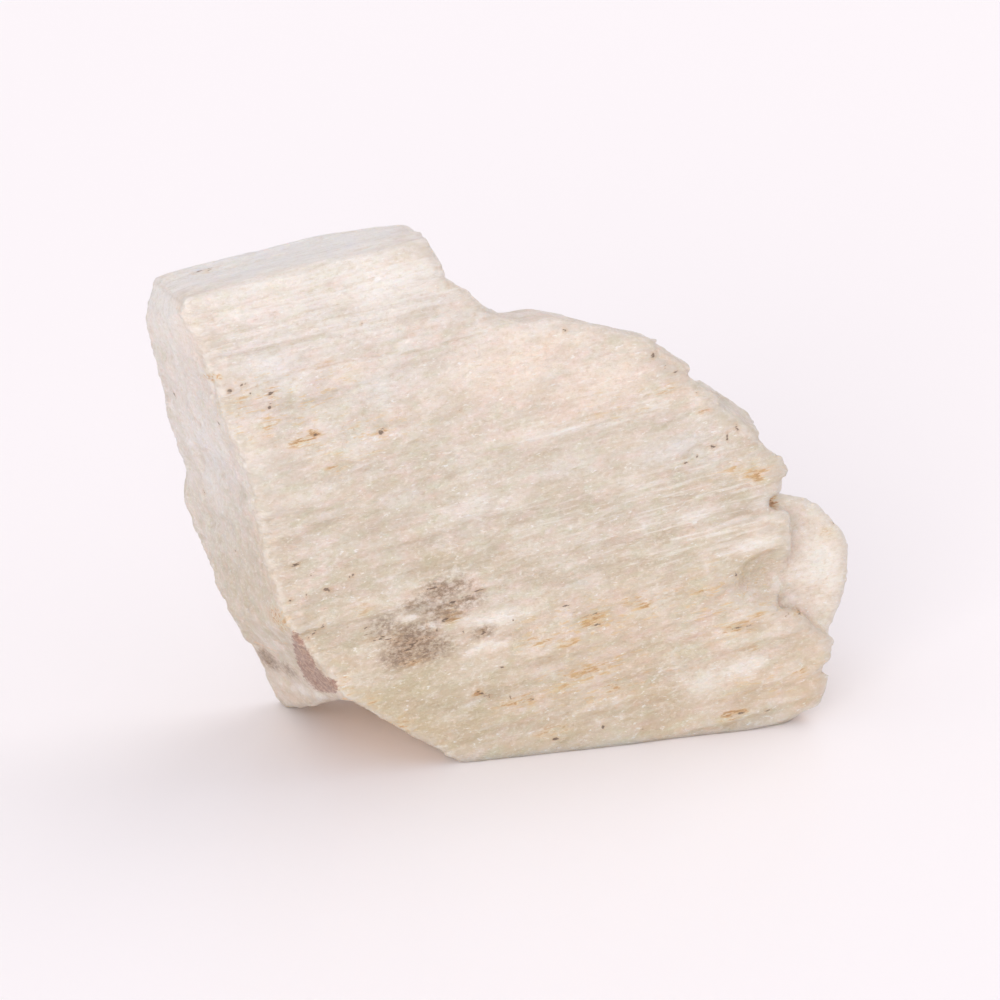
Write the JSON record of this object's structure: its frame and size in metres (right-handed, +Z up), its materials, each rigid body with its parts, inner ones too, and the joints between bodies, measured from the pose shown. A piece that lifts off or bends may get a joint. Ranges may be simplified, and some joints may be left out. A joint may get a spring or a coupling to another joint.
{
  "type": "rough hiddenite",
  "caption": "Rough pale hiddenite crystal: a translucent sheaf of parallel splintery laths with broken ends and stepped cleavage faces.",
  "frame": {"origin": "centre of the bounding box in plan, on the table it rests on", "axes": "+X along the stone's length to its right-hand end, +Y from its striated front face to its back, +Z up"},
  "size_m": [0.0352, 0.019, 0.0262],
  "materials": {
    "hiddenite": "translucent milky cream with a faint green and peach tint, silky striations and small rust stains"
  },
  "bodies": {
    "root": {"hiddenite_crystal": "hiddenite"}
  },
  "joints": []
}
